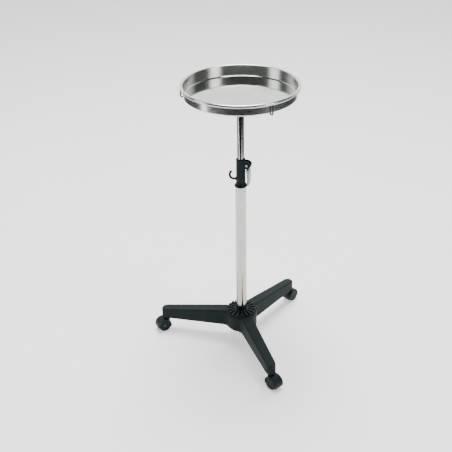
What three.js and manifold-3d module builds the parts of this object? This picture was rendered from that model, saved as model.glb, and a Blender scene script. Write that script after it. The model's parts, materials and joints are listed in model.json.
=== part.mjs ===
// Height-adjustable round instrument cart on a three-armed caster base, in millimetres, +Z up.
// The floor is z = 0. Pieces are first placed about the column's axis, then the whole cart is shifted
// so that the origin lies under the centre of its bounding box.
import * as THREE from "three";
import { ConvexGeometry } from "three/addons/geometries/ConvexGeometry.js";
import { mergeVertices } from "three/addons/utils/BufferGeometryUtils.js";
import Module from "manifold-3d";

const wasm = await Module();
wasm.setup();

// ---- Driving dimensions -----------------------------------------------------------------------

const GAP = 0.3; // clearance between pieces that seat in, rest on or run in each other

// Casters: hooded twin wheels on a steel stem, one under the end of each arm.
const WHEEL_DIAMETER = 50;
const WHEEL_WIDTH = 15.5;
const TYRE_THICKNESS = 3.4;
const WHEEL_FLANGE = 2.6; // outer disc of a wheel, which covers the side of its tyre
const WHEEL_FLANGE_INSET = 1.4; // flange's edge in from the tread
const WHEEL_DISH = 1.6; // depth of the dish in a wheel's outer face
const WHEEL_RIM = 4; // flat rim round the dish
const WHEEL_BOSS_WALL = 3; // boss in the middle of the dish, round the axle
const WHEEL_BOSS_INSET = 0.6; // boss's face in from the rim's
const AXLE_DIAMETER = 6;
const CASTER_WEB = 7; // hood's middle web, between the two wheels
const CASTER_TRAIL = 17; // axle behind the stem's axis
const HOOD_WALL = 2.6;
const HOOD_CLEARANCE = 1.4; // between tyre and hood
const HOOD_SKIRT = 14; // height of the hood's lower edge above the floor
const NECK_RISE = 6.5; // top of the hood's neck above the top of the wheels
const NECK_DIAMETER = 22;
const STEM_DIAMETER = 11;
const STEM_LENGTH = 30; // above its flange
const STEM_ROOT = 9; // below its flange, in the neck
const STEM_FLANGE_DIAMETER = 18;
const STEM_FLANGE = 3;
const BUSH_WALL = 2.6;
const BUSH_FLANGE_DIAMETER = 24;
const BUSH_FLANGE = 1.6;
const BUSH_CROWN = 2; // closed end of the bush, above the stem

// Base: one moulding with a round hub and three tapering arms.
const ARM_REACH = 321; // column axis to the tip of an arm
const CASTER_RADIUS = 303; // column axis to a caster's stem
const ARM_AZIMUTHS = { front: -70, right: 50, left: 170 };
const CASTER_AZIMUTHS = { front: -46, right: 48, left: 206 }; // way each caster trails
const ARM_ROOT_RADIUS = 56;
const ARM_ROOT_HALF_WIDTH = 23;
const ARM_ROOT_DEPTH = 68.4;
const ARM_END_HALF_WIDTH = 19.5;
const ARM_END_DEPTH = 42.6;
const ARM_NOSE = 32; // length of the rounded end
const NOSE_SQUARENESS = 0.66; // exponent of the superellipse: 1 is an ellipse, less is squarer
const ARM_DRAFT = 0.8; // lean of the side walls
const ARM_EDGE = 2.5; // bevel along the upper edges
const BASE_WALL = 4.5;
const BAY_COUNT = 3; // open pockets under each arm, with cross ribs between them
const BAY_RIB = 4;
const HUB_RADIUS = 60;
const HUB_DEPTH = 68.5;
const HUB_CROWN_RADIUS = 55; // flat top of the hub
const HUB_CORNER = 5; // rounding under the hub's edge
const HUB_FILLET = 22; // plan radius where an arm's side runs into the hub
const HUB_FILLET_DEPTH = 58;
const SOCKET_FLOOR = 22; // hub's underside to the foot of the outer tube
const SOCKET_RECESS = 12; // depth of the round recess for the bolt's head
const SOCKET_RECESS_DIAMETER = 44;

// Ribbed collar around the foot of the column.
const COLLAR_DIAMETER = 108;
const COLLAR_HEIGHT = 8.5;
const COLLAR_GROOVES = 18;
const COLLAR_TURN = 2; // azimuth of the first groove
const COLLAR_GROOVE_DEPTH = 6;
const COLLAR_GROOVE_START = 28; // radius at which the grooves begin
const COLLAR_GROOVE_SHARE = 0.46; // groove's share of the pitch

// Foot bolt, from below through the hub into the plug in the outer tube.
const FOOT_BOLT_DIAMETER = 10;
const FOOT_BOLT_LENGTH = 40;
const FOOT_BOLT_HEAD_DIAMETER = 19;
const FOOT_BOLT_HEAD = 6.4;
const FOOT_WASHER_DIAMETER = 34;
const FOOT_WASHER = 2.5;
const FOOT_PLUG_LENGTH = 34;

// Column: an outer tube fixed in the base and an inner tube that slides in it.
const OUTER_TUBE_DIAMETER = 40;
const OUTER_TUBE_WALL = 1.5;
const OUTER_TUBE_LENGTH = 586.3;
const INNER_TUBE_DIAMETER = 25.4;
const INNER_TUBE_WALL = 1.5;
const INNER_TUBE_LENGTH = 560;
const COLUMN_EXTENSION = 204.8; // top of the clamp sleeve to the underside of the tray holder's hub
const GUIDE_BUSH_LENGTH = 30;

// Clamp sleeve at the mouth of the outer tube.
const SLEEVE_HEIGHT = 107; // above the outer tube
const SLEEVE_DIAMETER = 33;
const SLEEVE_SPIGOT = 60; // length inside the outer tube
const SLEEVE_COLLAR_DIAMETER = 46;
const SLEEVE_COLLAR = 4.5; // height of the collar's straight band
const SLEEVE_FLARE = 19; // top of the flare above the collar's underside
const SLEEVE_FLARE_POWER = 2.2; // how soon the flare draws in above the collar
const CLAMP_AZIMUTH = -18;
const EAR_RADIUS = 14.3;
const EAR_RISE = 1.2; // centre of the ears above the cam's pin
const EAR_THICKNESS = 4;
const EAR_FOOT = 5; // ear's root on the sleeve runs this far below its round end
const EAR_SLOT = 12; // clear width between the two ears
const CAM_PIN_RADIUS = 24.3; // column axis to the cam's pin
const CAM_PIN_DROP = 21.3; // top of the sleeve to the cam's pin
const CAM_PIN_DIAMETER = 5;
const CAM_PIN_HEAD_DIAMETER = 9;
const CAM_PIN_HEAD = 1.6;
const CAM_RADIUS = 7;
const CAM_ECCENTRICITY = 1;
const PAD_WIDTH = 10;
const PAD_HEIGHT = 18;
const LEVER_HEAD_WIDTH = 11;
const LEVER_PADDLE_WIDTH = 26;
const LEVER_LENGTH = 77; // cam pin to the tip of the paddle
const LEVER_THICKNESS = 11.5; // at the top of the paddle
const LEVER_TAPER = 0.55; // share of the thickness lost by the tip
const LEVER_TOP = 2; // top of the paddle below the round of the ears
const LEVER_INSET = 3; // paddle's inner face inside the cam's pin
const LEVER_BOW = 3; // outward bow of the paddle
const LEVER_LEAN = 5; // tip's lean away from the column
const LEVER_SHOULDER = 8; // cam's head runs this far below the round of the ears
const HOOK_AZIMUTH = 180;
const HOOK_DIAMETER = 8.6;
const HOOK_DROP = 77.9; // top of the sleeve to the hook's shank
const HOOK_BOSS_DIAMETER = 12.2;
const HOOK_BOSS = 2.5; // boss's stand-out from the sleeve
const HOOK_SKIN = 1; // left between the hook's blind hole and the sleeve's bore
const HOOK_REACH = 22; // hook's outermost centre line beyond the sleeve
const HOOK_HEIGHT = 30; // shank to tip

// Tray holder: a turned hub with three rods that turn up around the tray.
const HOLDER_HUB_DIAMETER = 36;
const HOLDER_HUB_HEIGHT = 25;
const HOLDER_SOCKET = 17; // depth of the socket over the inner tube
const HOLDER_SCREW_DIAMETER = 6;
const HOLDER_SCREW_LENGTH = 28;
const TOP_PLUG_LENGTH = 24;
const ROD_DIAMETER = 5;
const ROD_BEND = 6; // bend radius at the rod's centre line
const ROD_TO_WALL = 4.9; // clear space between tray wall and upturned rod
const ROD_TO_BEAD = 0.6; // clear space between rod end and rolled rim
const ROD_AZIMUTHS = { front: -59.4, right: 60.6, left: 180.6 };

// Tray: a round pan pressed from sheet, its edge rolled outwards into an open bead.
const TRAY_DIAMETER = 400;
const TRAY_DEPTH = 41;
const TRAY_SHEET = 1.2;
const TRAY_CORNER = 6; // outside radius between floor and wall
const BEAD_DIAMETER = 11.2;

// Facets around round pieces.
const FINE = 48;
const ROUND = 32;
const POCKET_FACETS = 24;
const WHEEL_FACETS = 20;
const SMALL = 16;
const ROD_SIDES = 8;

// ---- Levels and radii that follow from them ---------------------------------------------------

const wheelRadius = WHEEL_DIAMETER / 2;
const axleRadius = AXLE_DIAMETER / 2;
const wheelOffset = CASTER_WEB / 2 + GAP + WHEEL_WIDTH / 2;
const hoodRadius = wheelRadius + HOOD_CLEARANCE + HOOD_WALL;
const hoodHalfWidth = wheelOffset + WHEEL_WIDTH / 2;
const neckTop = WHEEL_DIAMETER + NECK_RISE;
const stemRadius = STEM_DIAMETER / 2;
const stemFlangeBottom = neckTop + GAP;
const stemFlangeTop = stemFlangeBottom + STEM_FLANGE;
const stemTop = stemFlangeTop + STEM_LENGTH;
const bushFlangeBottom = stemFlangeTop + GAP;
const bushFlangeTop = bushFlangeBottom + BUSH_FLANGE;
const bushRadius = stemRadius + GAP + BUSH_WALL;
const bushTop = stemTop + GAP + BUSH_CROWN;

const armUnderside = bushFlangeTop + GAP;
const armEndRadius = ARM_REACH - ARM_NOSE;
const hubTop = armUnderside + HUB_DEPTH;
const collarBottom = hubTop + GAP;

const outerTubeRadius = OUTER_TUBE_DIAMETER / 2;
const outerTubeBore = outerTubeRadius - OUTER_TUBE_WALL;
const socketBottom = armUnderside + SOCKET_FLOOR;
const outerTubeBottom = socketBottom + GAP;
const outerTubeTop = outerTubeBottom + OUTER_TUBE_LENGTH;

const innerTubeRadius = INNER_TUBE_DIAMETER / 2;
const innerTubeBore = innerTubeRadius - INNER_TUBE_WALL;
const slidingBore = innerTubeRadius + GAP;
const sleeveBottom = outerTubeTop + GAP;
const sleeveTop = sleeveBottom + SLEEVE_HEIGHT;
const sleeveRadius = SLEEVE_DIAMETER / 2;
const camPinHeight = sleeveTop - CAM_PIN_DROP;
const hookHeight = sleeveTop - HOOK_DROP;

const holderBottom = sleeveTop + COLUMN_EXTENSION;
const holderTop = holderBottom + HOLDER_HUB_HEIGHT;
const innerTubeTop = holderBottom + HOLDER_SOCKET - GAP;
const innerTubeBottom = innerTubeTop - INNER_TUBE_LENGTH;

const trayUnderside = holderTop + GAP;
const trayTop = trayUnderside + TRAY_DEPTH;
const beadRadius = BEAD_DIAMETER / 2;
const beadCentre = TRAY_DIAMETER / 2 - beadRadius;
const trayWallInside = beadCentre - beadRadius;
const trayWallOutside = trayWallInside + TRAY_SHEET;
const rodRadius = ROD_DIAMETER / 2;
const rodUprightRadius = trayWallOutside + ROD_TO_WALL + rodRadius;

// ---- Materials --------------------------------------------------------------------------------

const material = (color, roughness, metalness) =>
  new THREE.MeshStandardMaterial({ color, roughness, metalness });

const stainless = () => material(0xd3d2ce, 0.18, 1);
const chrome = () => material(0xdedcd8, 0.08, 1);
const zincSteel = () => material(0xa9abad, 0.35, 1);
const darkSteel = () => material(0x3f4142, 0.4, 1);
const castAlloy = () => material(0xb9bcbe, 0.45, 0.6);
const charcoalPlastic = () => material(0x2f3a3c, 0.55, 0);
const blackPlastic = () => material(0x1f2627, 0.5, 0);
const whitePlastic = () => material(0xc9c8c2, 0.5, 0);
const greyTyre = () => material(0x73777a, 0.75, 0);

// ---- Geometry helpers -------------------------------------------------------------------------

const radians = THREE.MathUtils.degToRad;

// A body turned about Z from a profile of [radius, height] points.
function turned(profile, segments = ROUND) {
  const points = profile.map(([radius, height]) => new THREE.Vector2(radius, height));
  return new THREE.LatheGeometry(points, segments).rotateX(Math.PI / 2);
}

// A solid disc or rod about Z.
function disc(radius, bottom, top, segments = ROUND) {
  return turned([[0, bottom], [radius, bottom], [radius, top], [0, top]], segments);
}

// A tube about Z.
function ring(inner, outer, bottom, top, segments = ROUND) {
  return turned(
    [[inner, bottom], [outer, bottom], [outer, top], [inner, top], [inner, bottom]],
    segments,
  );
}

// A plate of [x, y] points, between two heights.
function plate(points, bottom, top) {
  const shape = new THREE.Shape(points.map(([x, y]) => new THREE.Vector2(x, y)));
  const options = { depth: top - bottom, bevelEnabled: false };
  return new THREE.ExtrudeGeometry(shape, options).translate(0, 0, bottom);
}

// A plate of [x, z] points standing in the XZ plane, of a given width across Y.
function cheek(points, width, middle = 0) {
  const shape = new THREE.Shape(points.map(([x, z]) => new THREE.Vector2(x, z)));
  const options = { depth: width, bevelEnabled: false };
  const made = new THREE.ExtrudeGeometry(shape, options).rotateX(Math.PI / 2);
  return made.translate(0, middle + width / 2, 0);
}

// Points on an arc about [x, y], from one angle to another in degrees.
function arc(x, y, radius, from, to, steps) {
  return Array.from({ length: steps + 1 }, (_, i) => {
    const angle = radians(from + ((to - from) * i) / steps);
    return [x + radius * Math.cos(angle), y + radius * Math.sin(angle)];
  });
}

// A round bar of constant section along a curve.
function bar(curve, radius, steps) {
  const section = arc(0, 0, radius, 0, 360, ROD_SIDES).slice(0, ROD_SIDES);
  const shape = new THREE.Shape(section.map(([x, y]) => new THREE.Vector2(x, y)));
  const options = { steps, extrudePath: curve, bevelEnabled: false };
  return new THREE.ExtrudeGeometry(shape, options);
}

// A rod lying along X.
function rodAlongX(radius, from, to, height, segments = SMALL) {
  return disc(radius, from, to, segments).rotateY(Math.PI / 2).translate(0, 0, height);
}

// A pin lying along Y.
function pinAlongY(radius, from, to, x, z, segments = SMALL) {
  return disc(radius, from, to, segments).rotateX(-Math.PI / 2).translate(x, 0, z);
}

function toSolid(geometry) {
  const bare = geometry.clone();
  bare.deleteAttribute("normal");
  bare.deleteAttribute("uv");
  const merged = mergeVertices(bare, 1e-4);
  const vertProperties = new Float32Array(merged.attributes.position.array);
  const triVerts = new Uint32Array(merged.index.array);
  return new wasm.Manifold(new wasm.Mesh({ numProp: 3, vertProperties, triVerts }));
}

function toGeometry(solid) {
  const mesh = solid.getMesh();
  const geometry = new THREE.BufferGeometry();
  geometry.setAttribute("position", new THREE.BufferAttribute(mesh.vertProperties, 3));
  geometry.setIndex(new THREE.BufferAttribute(mesh.triVerts, 1));
  geometry.computeVertexNormals();
  return geometry;
}

const joined = (...geometries) =>
  toGeometry(geometries.map(toSolid).reduce((whole, piece) => whole.add(piece)));

const cut = (body, ...tools) =>
  toGeometry(tools.map(toSolid).reduce((whole, tool) => whole.subtract(tool), toSolid(body)));

function addPiece(parent, name, geometry, pieceMaterial) {
  const mesh = new THREE.Mesh(geometry, pieceMaterial);
  mesh.name = name;
  parent.add(mesh);
}

// ---- Tray and its holder ----------------------------------------------------------------------

// The profile runs along the sheet's outer face, round the bead, and back along its inner face.
function trayPan() {
  const cornerCentre = trayWallOutside - TRAY_CORNER;
  const floorTop = trayUnderside + TRAY_SHEET;
  const beadHeight = trayTop - beadRadius;
  const curlEnd = -90; // degrees: the bead stays open from here round to the wall
  return turned(
    [
      [0, trayUnderside],
      ...arc(cornerCentre, trayUnderside + TRAY_CORNER, TRAY_CORNER, -90, 0, 3),
      ...arc(beadCentre, beadHeight, beadRadius - TRAY_SHEET, 180, curlEnd, 6),
      ...arc(beadCentre, beadHeight, beadRadius, curlEnd, 180, 9),
      ...arc(cornerCentre, trayUnderside + TRAY_CORNER, TRAY_CORNER - TRAY_SHEET, 0, -90, 3),
      [0, floorTop],
    ],
    FINE,
  );
}

function holderHub() {
  const body = disc(HOLDER_HUB_DIAMETER / 2, holderBottom, holderTop);
  const socket = disc(slidingBore, holderBottom - 1, holderBottom + HOLDER_SOCKET);
  const hole = HOLDER_SCREW_DIAMETER / 2 + GAP;
  const countersink = turned([
    [0, holderBottom],
    [hole, holderBottom],
    [hole, holderTop - hole],
    [2 * hole, holderTop],
    [2 * hole, holderTop + 1],
    [0, holderTop + 1],
  ], SMALL);
  return cut(body, socket, countersink);
}

function holderScrew() {
  const shank = HOLDER_SCREW_DIAMETER / 2;
  const top = holderTop - GAP;
  return turned([
    [0, top - HOLDER_SCREW_LENGTH],
    [shank, top - HOLDER_SCREW_LENGTH],
    [shank, top - shank],
    [2 * shank, top],
    [0, top],
  ], SMALL);
}

// A rod runs out under the tray, turns up outside its wall and ends below the rolled rim.
function holderRod() {
  const level = holderTop - rodRadius;
  const start = HOLDER_HUB_DIAMETER / 2 + GAP;
  const bendStart = rodUprightRadius - ROD_BEND;
  const end = trayTop - BEAD_DIAMETER - ROD_TO_BEAD;
  const bend = new THREE.CatmullRomCurve3(
    arc(bendStart, level + ROD_BEND, ROD_BEND, -90, 0, 4).map(([x, z]) => new THREE.Vector3(x, 0, z)),
  );
  const overlap = 0.5;
  return joined(
    rodAlongX(rodRadius, start, bendStart + overlap, level, ROD_SIDES),
    bar(bend, rodRadius, 4),
    disc(rodRadius, level + ROD_BEND - overlap, end, ROD_SIDES).translate(rodUprightRadius, 0, 0),
  );
}

function addTrayAndHolder(cart) {
  addPiece(cart, "tray_pan", trayPan(), stainless());
  addPiece(cart, "holder_hub", holderHub(), zincSteel());
  addPiece(cart, "holder_screw", holderScrew(), zincSteel());
  for (const [side, azimuth] of Object.entries(ROD_AZIMUTHS)) {
    addPiece(cart, `holder_rod_${side}`, holderRod().rotateZ(radians(azimuth)), darkSteel());
  }
}

// ---- Column -----------------------------------------------------------------------------------

function addColumn(cart) {
  const plugBore = HOLDER_SCREW_DIAMETER / 2 + GAP;
  const topPlug = ring(plugBore, innerTubeBore - GAP, innerTubeTop - TOP_PLUG_LENGTH, innerTubeTop, SMALL);
  const innerTube = ring(innerTubeBore, innerTubeRadius, innerTubeBottom, innerTubeTop);
  const guideTop = innerTubeBottom + GUIDE_BUSH_LENGTH;
  const guideBush = ring(slidingBore, outerTubeBore - GAP, innerTubeBottom, guideTop);
  const outerTube = ring(outerTubeBore, outerTubeRadius, outerTubeBottom, outerTubeTop);
  const boltBore = FOOT_BOLT_DIAMETER / 2 + GAP;
  const footPlugTop = outerTubeBottom + FOOT_PLUG_LENGTH;
  const footPlug = ring(boltBore, outerTubeBore - GAP, outerTubeBottom, footPlugTop, SMALL);
  addPiece(cart, "tube_top_plug", topPlug, zincSteel());
  addPiece(cart, "inner_tube", innerTube, chrome());
  addPiece(cart, "inner_tube_guide_bush", guideBush, whitePlastic());
  addPiece(cart, "outer_tube", outerTube, chrome());
  addPiece(cart, "tube_foot_plug", footPlug, zincSteel());
}

// ---- Clamp: local X points from the column's axis to the cam lever ----------------------------

// Spigot, collar, flare and straight sleeve in one turning, with a bore for the inner tube.
function sleeveTurning() {
  const collar = SLEEVE_COLLAR_DIAMETER / 2;
  const band = sleeveBottom + SLEEVE_COLLAR;
  const flareTop = sleeveBottom + SLEEVE_FLARE;
  const steps = 5;
  const collarChamfer = 1.5;
  const mouthChamfer = 1;
  const flare = Array.from({ length: steps + 1 }, (_, i) => {
    const share = i / steps;
    const swell = (1 - share) ** SLEEVE_FLARE_POWER;
    return [sleeveRadius + (collar - sleeveRadius) * swell, band + (flareTop - band) * share];
  });
  return turned([
    [0, sleeveBottom - SLEEVE_SPIGOT],
    [outerTubeBore - GAP, sleeveBottom - SLEEVE_SPIGOT],
    [outerTubeBore - GAP, sleeveBottom],
    [collar - collarChamfer, sleeveBottom],
    [collar, sleeveBottom + collarChamfer],
    ...flare,
    [sleeveRadius, sleeveTop - mouthChamfer],
    [sleeveRadius - mouthChamfer, sleeveTop],
    [0, sleeveTop],
  ]);
}

// Ear outline in the XZ plane: round about the cam's pin, running back through the sleeve's wall.
function earOutline() {
  const inside = slidingBore - 3.5;
  const earCentre = camPinHeight + EAR_RISE;
  return [
    [inside, earCentre - EAR_RADIUS - EAR_FOOT],
    ...arc(CAM_PIN_RADIUS, earCentre, EAR_RADIUS, -90, 90, 10),
    [inside, earCentre + EAR_RADIUS],
  ];
}

function clampSleeve() {
  const earMiddle = (EAR_SLOT + EAR_THICKNESS) / 2;
  const shaftHole = CAM_PIN_DIAMETER / 2 + GAP;
  const earSpan = EAR_SLOT + 2 * EAR_THICKNESS;
  const window = [
    [0, camPinHeight - PAD_HEIGHT / 2 - GAP],
    [CAM_PIN_RADIUS, camPinHeight - PAD_HEIGHT / 2 - GAP],
    [CAM_PIN_RADIUS, camPinHeight + PAD_HEIGHT / 2 + GAP],
    [0, camPinHeight + PAD_HEIGHT / 2 + GAP],
  ];
  const hookTurn = Math.PI - radians(HOOK_AZIMUTH - CLAMP_AZIMUTH);
  const bossEnd = -(sleeveRadius + HOOK_BOSS);
  const holeEnd = -(slidingBore + HOOK_SKIN);
  const hookBoss = rodAlongX(HOOK_BOSS_DIAMETER / 2, bossEnd, -slidingBore, hookHeight);
  const hookHole = rodAlongX(HOOK_DIAMETER / 2 + GAP, bossEnd - 1, holeEnd, hookHeight);
  return cut(
    joined(
      sleeveTurning(),
      cheek(earOutline(), EAR_THICKNESS, earMiddle),
      cheek(earOutline(), EAR_THICKNESS, -earMiddle),
      hookBoss.rotateZ(-hookTurn),
    ),
    disc(slidingBore, sleeveBottom - SLEEVE_SPIGOT - 1, sleeveTop + 1),
    cheek(window, PAD_WIDTH + 2 * GAP),
    pinAlongY(shaftHole, -earSpan, earSpan, CAM_PIN_RADIUS, camPinHeight),
    hookHole.rotateZ(-hookTurn),
  );
}

// The pad sits in the sleeve's window, hollowed to the inner tube, with its back to the cam.
function pressurePad() {
  const back = CAM_PIN_RADIUS - CAM_RADIUS - CAM_ECCENTRICITY - GAP;
  const half = PAD_HEIGHT / 2;
  const front = slidingBore - 3;
  const block = [
    [front, camPinHeight - half],
    [back, camPinHeight - half],
    [back, camPinHeight + half],
    [front, camPinHeight + half],
  ];
  return cut(
    cheek(block, PAD_WIDTH),
    disc(slidingBore, camPinHeight - half - 1, camPinHeight + half + 1, FINE),
  );
}

function camPin() {
  const face = EAR_SLOT / 2 + EAR_THICKNESS + GAP;
  const head = face + CAM_PIN_HEAD;
  return joined(
    pinAlongY(CAM_PIN_DIAMETER / 2, -head, head, CAM_PIN_RADIUS, camPinHeight),
    pinAlongY(CAM_PIN_HEAD_DIAMETER / 2, -head, -face, CAM_PIN_RADIUS, camPinHeight),
    pinAlongY(CAM_PIN_HEAD_DIAMETER / 2, face, head, CAM_PIN_RADIUS, camPinHeight),
  );
}

// Side outline of the hanging paddle: a bowed bar that thins towards its tip.
function paddleOutline() {
  const top = camPinHeight - EAR_RADIUS - LEVER_TOP;
  const tip = camPinHeight - LEVER_LENGTH;
  const inner = CAM_PIN_RADIUS - LEVER_INSET - LEVER_BOW / 3;
  const steps = 8;
  const bow = (share) => LEVER_BOW * Math.sin(Math.PI * (0.15 + 0.7 * share));
  const level = (share) => top + (tip - top) * share;
  const thickness = (share) => LEVER_THICKNESS * (1 - LEVER_TAPER * share);
  const shares = Array.from({ length: steps + 1 }, (_, i) => i / steps);
  const inside = shares.map((share) => [inner + bow(share) + LEVER_LEAN * share, level(share)]);
  const outside = inside.map(([x, z], i) => [x + thickness(shares[i]), z]);
  return [...inside, ...outside.reverse()];
}

// The round cam with a neck down into the paddle.
function camLever() {
  const eccentric = CAM_PIN_RADIUS - CAM_ECCENTRICITY;
  const shoulder = camPinHeight - EAR_RADIUS - LEVER_SHOULDER;
  const neckOutside = CAM_PIN_RADIUS + CAM_RADIUS;
  const neckSlope = 1;
  const head = [
    ...arc(eccentric, camPinHeight, CAM_RADIUS, 20, 230, 12),
    [CAM_PIN_RADIUS, shoulder],
    [neckOutside, shoulder],
    [neckOutside + neckSlope, camPinHeight - CAM_RADIUS / 2],
  ];
  return cut(
    joined(cheek(head, LEVER_HEAD_WIDTH), cheek(paddleOutline(), LEVER_PADDLE_WIDTH)),
    pinAlongY(CAM_PIN_DIAMETER / 2 + GAP, -EAR_SLOT, EAR_SLOT, CAM_PIN_RADIUS, camPinHeight),
  );
}

// A moulded hook: straight shank in the boss, then a C that opens upwards and towards the sleeve.
function cableHook() {
  const root = slidingBore + HOOK_SKIN + GAP;
  const wall = sleeveRadius;
  const outline = [
    [root, 0],
    [wall + HOOK_BOSS + 1, 0],
    [wall + 0.62 * HOOK_REACH, 0.03 * HOOK_HEIGHT],
    [wall + 0.9 * HOOK_REACH, 0.22 * HOOK_HEIGHT],
    [wall + HOOK_REACH, 0.52 * HOOK_HEIGHT],
    [wall + 0.93 * HOOK_REACH, 0.78 * HOOK_HEIGHT],
    [wall + 0.72 * HOOK_REACH, HOOK_HEIGHT],
  ];
  const points = outline.map(([x, z]) => new THREE.Vector3(x, 0, hookHeight + z));
  const curve = new THREE.CatmullRomCurve3(points, false, "centripetal");
  return bar(curve, HOOK_DIAMETER / 2, 16);
}

function addClamp(cart) {
  const clamp = new THREE.Group();
  clamp.rotation.z = radians(CLAMP_AZIMUTH);
  cart.add(clamp);
  addPiece(clamp, "clamp_sleeve", clampSleeve(), blackPlastic());
  addPiece(clamp, "pressure_pad", pressurePad(), whitePlastic());
  addPiece(clamp, "cam_pin", camPin(), zincSteel());
  addPiece(clamp, "cam_lever", camLever(), castAlloy());
  addPiece(cart, "cable_hook", cableHook().rotateZ(radians(HOOK_AZIMUTH)), blackPlastic());
}

// ---- Base -------------------------------------------------------------------------------------

// An arm's half width and depth at a radius, both straight-line tapers.
function armHalfWidth(radius) {
  const share = (radius - ARM_ROOT_RADIUS) / (armEndRadius - ARM_ROOT_RADIUS);
  return ARM_ROOT_HALF_WIDTH + (ARM_END_HALF_WIDTH - ARM_ROOT_HALF_WIDTH) * share;
}

function armDepth(radius) {
  const share = (radius - ARM_ROOT_RADIUS) / (armEndRadius - ARM_ROOT_RADIUS);
  return ARM_ROOT_DEPTH + (ARM_END_DEPTH - ARM_ROOT_DEPTH) * share;
}

// Stations along an arm: its root, then the rounded nose as a quarter of a superellipse.
function armStations() {
  const steps = 7;
  const nose = Array.from({ length: steps + 1 }, (_, i) => {
    const angle = (Math.PI / 2) * (i / steps);
    const along = ARM_NOSE * Math.sin(angle) ** NOSE_SQUARENESS;
    const across = ARM_END_HALF_WIDTH * Math.cos(angle) ** NOSE_SQUARENESS;
    return [armEndRadius + along, Math.max(across, ARM_EDGE + ARM_DRAFT + 1)];
  });
  return [[ARM_ROOT_RADIUS, ARM_ROOT_HALF_WIDTH], ...nose];
}

function armBody() {
  const points = [];
  for (const [radius, halfWidth] of armStations()) {
    const top = armUnderside + armDepth(radius);
    const share = (radius - armEndRadius) / ARM_NOSE;
    const pulledIn = ARM_EDGE * Math.max(0, share);
    for (const side of [-1, 1]) {
      points.push(new THREE.Vector3(radius, side * halfWidth, armUnderside));
      points.push(new THREE.Vector3(radius, side * (halfWidth - ARM_DRAFT), top - ARM_EDGE));
      const rim = halfWidth - ARM_DRAFT - ARM_EDGE;
      points.push(new THREE.Vector3(radius - pulledIn, side * rim, top));
    }
  }
  return new ConvexGeometry(points);
}

// Open pockets under an arm, between its cross ribs, following the arm's taper.
function armBays() {
  const start = HUB_RADIUS + HUB_FILLET;
  const end = CASTER_RADIUS - bushRadius - GAP - BASE_WALL;
  const pitch = (end - start + BAY_RIB) / BAY_COUNT;
  return Array.from({ length: BAY_COUNT }, (_, i) => {
    const near = start + i * pitch;
    const far = near + pitch - BAY_RIB;
    const points = [];
    for (const radius of [near, far]) {
      const bottomHalf = armHalfWidth(radius) - BASE_WALL;
      const topHalf = bottomHalf - ARM_DRAFT - ARM_EDGE / 2;
      const roof = armUnderside + armDepth(radius) - BASE_WALL;
      for (const side of [-1, 1]) {
        points.push(new THREE.Vector3(radius, side * bottomHalf, armUnderside - 1));
        points.push(new THREE.Vector3(radius, side * topHalf, roof));
      }
    }
    return new ConvexGeometry(points);
  });
}

function hubBody() {
  const shoulder = armUnderside + HUB_FILLET_DEPTH;
  const swell = HUB_RADIUS - HUB_CROWN_RADIUS;
  const corner = arc(HUB_RADIUS - HUB_CORNER, armUnderside + HUB_CORNER, HUB_CORNER, -90, 0, 3);
  const dome = arc(0, 0, 1, 0, 90, 4).map(([across, up]) => [
    HUB_CROWN_RADIUS + swell * across,
    shoulder + (hubTop - shoulder) * up,
  ]);
  return turned([[0, armUnderside], ...corner, ...dome, [0, hubTop]], FINE);
}

// A web on each side of an arm, whose concave edge is tangent to the arm's side and to the hub.
function armFillets() {
  const half = ARM_ROOT_HALF_WIDTH - ARM_DRAFT;
  const across = half + HUB_FILLET;
  const along = Math.sqrt((HUB_RADIUS + HUB_FILLET) ** 2 - across ** 2);
  const hubAngle = THREE.MathUtils.radToDeg(Math.atan2(across, along));
  const edge = arc(along, across, HUB_FILLET, 180 + hubAngle, 270, 6);
  const outline = [...edge, [along, -half], ...edge.map(([x, y]) => [x, -y]).reverse()];
  return plate(outline, armUnderside, armUnderside + HUB_FILLET_DEPTH);
}

function legBase() {
  const tools = [
    disc(outerTubeRadius + GAP, socketBottom, hubTop + 1),
    disc(FOOT_BOLT_DIAMETER / 2 + GAP, armUnderside, socketBottom + 1, SMALL),
    disc(SOCKET_RECESS_DIAMETER / 2, armUnderside - 1, armUnderside + SOCKET_RECESS),
  ];
  const arms = [];
  const bushHole = disc(bushRadius + GAP, armUnderside - 1, bushTop + GAP, SMALL);
  for (const azimuth of Object.values(ARM_AZIMUTHS)) {
    const turn = radians(azimuth);
    arms.push(armBody().rotateZ(turn), armFillets().rotateZ(turn));
    tools.push(...armBays().map((bay) => bay.rotateZ(turn)));
    tools.push(bushHole.clone().translate(CASTER_RADIUS, 0, 0).rotateZ(turn));
  }
  return cut(joined(hubBody(), ...arms), ...tools);
}

function baseCollar() {
  const outer = COLLAR_DIAMETER / 2;
  const top = collarBottom + COLLAR_HEIGHT;
  const body = ring(outerTubeRadius + GAP, outer, collarBottom, top, 2 * COLLAR_GROOVES);
  const halfAngle = (Math.PI / COLLAR_GROOVES) * COLLAR_GROOVE_SHARE;
  const past = outer + 2;
  const groove = plate([
    [COLLAR_GROOVE_START, -COLLAR_GROOVE_START * halfAngle],
    [past, -past * halfAngle],
    [past, past * halfAngle],
    [COLLAR_GROOVE_START, COLLAR_GROOVE_START * halfAngle],
  ], top - COLLAR_GROOVE_DEPTH, top + 1);
  const grooves = Array.from({ length: COLLAR_GROOVES }, (_, i) =>
    groove.clone().rotateZ((2 * Math.PI * i) / COLLAR_GROOVES + radians(COLLAR_TURN)),
  );
  return cut(body, ...grooves);
}

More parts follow.
